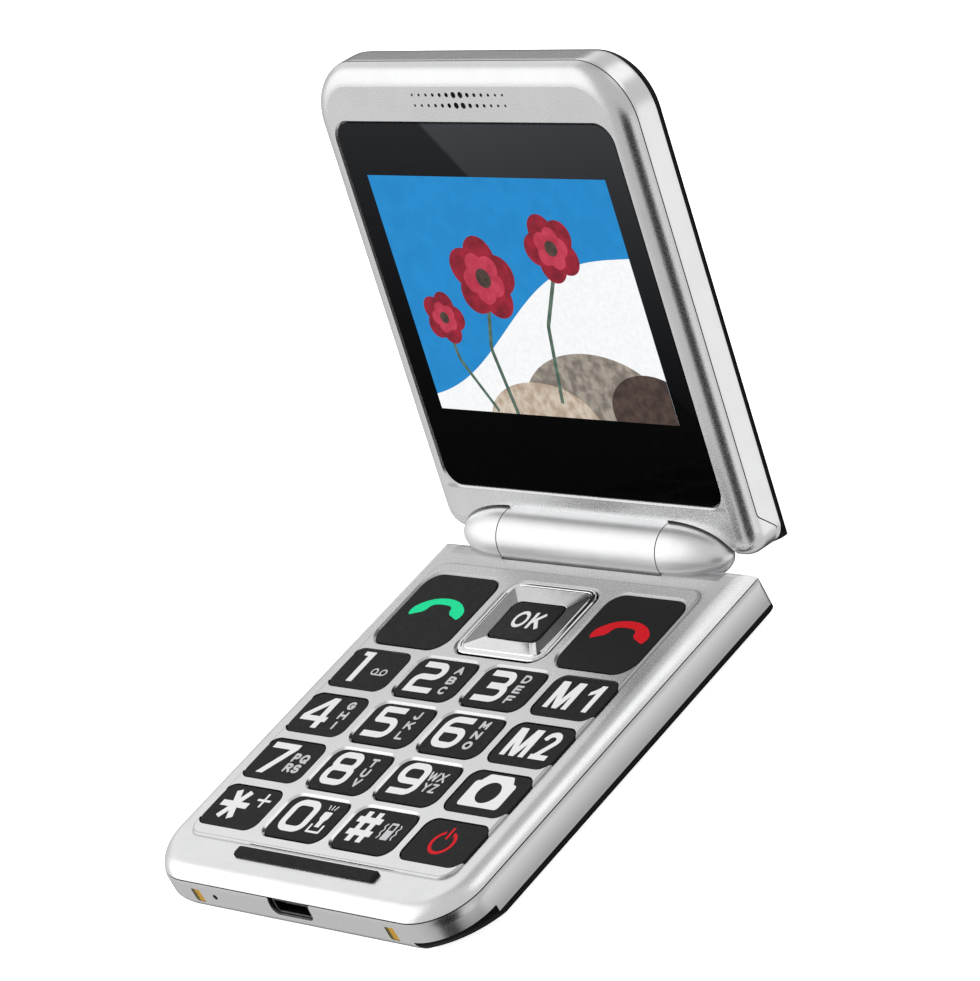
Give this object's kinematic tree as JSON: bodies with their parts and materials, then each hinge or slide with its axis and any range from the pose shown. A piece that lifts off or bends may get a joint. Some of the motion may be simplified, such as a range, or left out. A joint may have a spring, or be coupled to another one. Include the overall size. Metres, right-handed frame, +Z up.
{
  "type": "flip phone",
  "caption": "Folding mobile phone, shown open: a keypad half and a display half joined by a friction hinge, with pressing keys and a rocking navigation ring.",
  "frame": {"origin": "middle of the base's flat underside, which the phone lies on", "axes": "+X to the phone's right, +Y from the front edge towards the hinge, +Z up; the lid stands open at 103.3 degrees from the keypad"},
  "size_m": [0.0642, 0.0976, 0.0794],
  "materials": {
    "silver_paint": "satin silver paint with a fine metallic grain",
    "silver_side": "satin silver paint, a shade darker",
    "black_gloss": "glossy black moulded plastic",
    "black_rubber": "matt black",
    "grey_rubber": "translucent grey silicone",
    "nav_silver": "bright silver coating",
    "key_grey": "charcoal, satin, white printed legends",
    "key_gloss": "dark, slightly glossy",
    "window_glass": "tinted clear window with a printed black border",
    "display": "lit display",
    "board_green": "solder mask",
    "battery_can": "wrapped pouch cell",
    "dark_plastic": "black moulded plastic",
    "steel": "plain steel",
    "gold": "gold plated",
    "lens_glass": "dark clear lens",
    "white_lens": "frosted white",
    "flex_amber": "polyimide film"
  },
  "bodies": {
    "base": {"base_front_shell": "silver_paint", "base_rear_shell": "silver_side", "battery_cover": "black_gloss", "bumper_strip": "black_rubber", "keypad_membrane": "grey_rubber", "nav_pivots": "dark_plastic", "main_board": "board_green", "battery": "battery_can", "battery_contacts": "dark_plastic", "sim_holder": "steel", "loudspeaker": "steel", "vibration_motor": "steel", "microphone": "steel", "usb_socket": "steel", "charging_contacts": "gold", "base_screws": "steel", "hinge_shaft": "steel", "hinge_bush": "dark_plastic", "cable_base": "flex_amber"},
    "lid": {"lid_front_shell": "silver_paint", "lid_rear_shell": "silver_side", "lid_back_cover": "black_gloss", "display_window": "window_glass", "display_panel": "display", "lid_board": "board_green", "earpiece": "dark_plastic", "earpiece_mesh": "dark_plastic", "camera_module": "dark_plastic", "camera_lens": "lens_glass", "torch_led": "white_lens", "magnet": "steel", "lid_screws": "steel", "hinge_cartridge": "steel", "hinge_spring": "steel", "hinge_cam": "dark_plastic", "cable_lid": "flex_amber"},
    "nav_plate": {"nav_rocker": "steel"},
    "nav_ring": {"nav_ring": "nav_silver"},
    "ok_button": {"key_ok": "key_gloss"},
    "1_button": {"key_1": "key_grey"},
    "2_button": {"key_2": "key_grey"},
    "3_button": {"key_3": "key_grey"},
    "m1_button": {"key_m1": "key_grey"},
    "4_button": {"key_4": "key_grey"},
    "5_button": {"key_5": "key_grey"},
    "6_button": {"key_6": "key_grey"},
    "m2_button": {"key_m2": "key_grey"},
    "7_button": {"key_7": "key_grey"},
    "8_button": {"key_8": "key_grey"},
    "9_button": {"key_9": "key_grey"},
    "camera_button": {"key_camera": "key_grey"},
    "star_button": {"key_star": "key_grey"},
    "0_button": {"key_0": "key_grey"},
    "hash_button": {"key_hash": "key_grey"},
    "power_button": {"key_power": "key_grey"},
    "send_button": {"key_send": "key_grey"},
    "end_button": {"key_end": "key_grey"}
  },
  "joints": [
    {"name": "lid_hinge", "type": "hinge", "parent": "base", "child": "lid", "pos_m": [0, 0.03605, 0.00885], "axis": [-1, 0, 0], "range_deg": [-103.3, 31.7]},
    {"name": "key_1_press", "type": "slide", "parent": "base", "child": "1_button", "axis": [0, 0, -1], "range_m": [0, 0.0003], "stiffness_N_per_m": 6000},
    {"name": "key_2_press", "type": "slide", "parent": "base", "child": "2_button", "axis": [0, 0, -1], "range_m": [0, 0.0003], "stiffness_N_per_m": 6000},
    {"name": "key_3_press", "type": "slide", "parent": "base", "child": "3_button", "axis": [0, 0, -1], "range_m": [0, 0.0003], "stiffness_N_per_m": 6000},
    {"name": "key_m1_press", "type": "slide", "parent": "base", "child": "m1_button", "axis": [0, 0, -1], "range_m": [0, 0.0003], "stiffness_N_per_m": 6000},
    {"name": "key_4_press", "type": "slide", "parent": "base", "child": "4_button", "axis": [0, 0, -1], "range_m": [0, 0.0003], "stiffness_N_per_m": 6000},
    {"name": "key_5_press", "type": "slide", "parent": "base", "child": "5_button", "axis": [0, 0, -1], "range_m": [0, 0.0003], "stiffness_N_per_m": 6000},
    {"name": "key_6_press", "type": "slide", "parent": "base", "child": "6_button", "axis": [0, 0, -1], "range_m": [0, 0.0003], "stiffness_N_per_m": 6000},
    {"name": "key_m2_press", "type": "slide", "parent": "base", "child": "m2_button", "axis": [0, 0, -1], "range_m": [0, 0.0003], "stiffness_N_per_m": 6000},
    {"name": "key_7_press", "type": "slide", "parent": "base", "child": "7_button", "axis": [0, 0, -1], "range_m": [0, 0.0003], "stiffness_N_per_m": 6000},
    {"name": "key_8_press", "type": "slide", "parent": "base", "child": "8_button", "axis": [0, 0, -1], "range_m": [0, 0.0003], "stiffness_N_per_m": 6000},
    {"name": "key_9_press", "type": "slide", "parent": "base", "child": "9_button", "axis": [0, 0, -1], "range_m": [0, 0.0003], "stiffness_N_per_m": 6000},
    {"name": "key_camera_press", "type": "slide", "parent": "base", "child": "camera_button", "axis": [0, 0, -1], "range_m": [0, 0.0003], "stiffness_N_per_m": 6000},
    {"name": "key_star_press", "type": "slide", "parent": "base", "child": "star_button", "axis": [0, 0, -1], "range_m": [0, 0.0003], "stiffness_N_per_m": 6000},
    {"name": "key_0_press", "type": "slide", "parent": "base", "child": "0_button", "axis": [0, 0, -1], "range_m": [0, 0.0003], "stiffness_N_per_m": 6000},
    {"name": "key_hash_press", "type": "slide", "parent": "base", "child": "hash_button", "axis": [0, 0, -1], "range_m": [0, 0.0003], "stiffness_N_per_m": 6000},
    {"name": "key_power_press", "type": "slide", "parent": "base", "child": "power_button", "axis": [0, 0, -1], "range_m": [0, 0.0003], "stiffness_N_per_m": 6000},
    {"name": "key_send_press", "type": "slide", "parent": "base", "child": "send_button", "axis": [0, 0, -1], "range_m": [0, 0.0003], "stiffness_N_per_m": 6000},
    {"name": "key_end_press", "type": "slide", "parent": "base", "child": "end_button", "axis": [0, 0, -1], "range_m": [0, 0.0003], "stiffness_N_per_m": 6000},
    {"name": "ok_press", "type": "slide", "parent": "base", "child": "ok_button", "axis": [0, 0, -1], "range_m": [0, 0.0003], "stiffness_N_per_m": 6000},
    {"name": "nav_up_down", "type": "hinge", "parent": "base", "child": "nav_plate", "pos_m": [0, 0.01915, 0.00584], "axis": [1, 0, 0], "range_deg": [-1.2, 1.2], "stiffness_Nm_per_rad": 0.7},
    {"name": "nav_left_right", "type": "hinge", "parent": "nav_plate", "child": "nav_ring", "pos_m": [0, 0.01915, 0.00628], "axis": [0, 1, 0], "range_deg": [-1.2, 1.2], "stiffness_Nm_per_rad": 0.7}
  ]
}
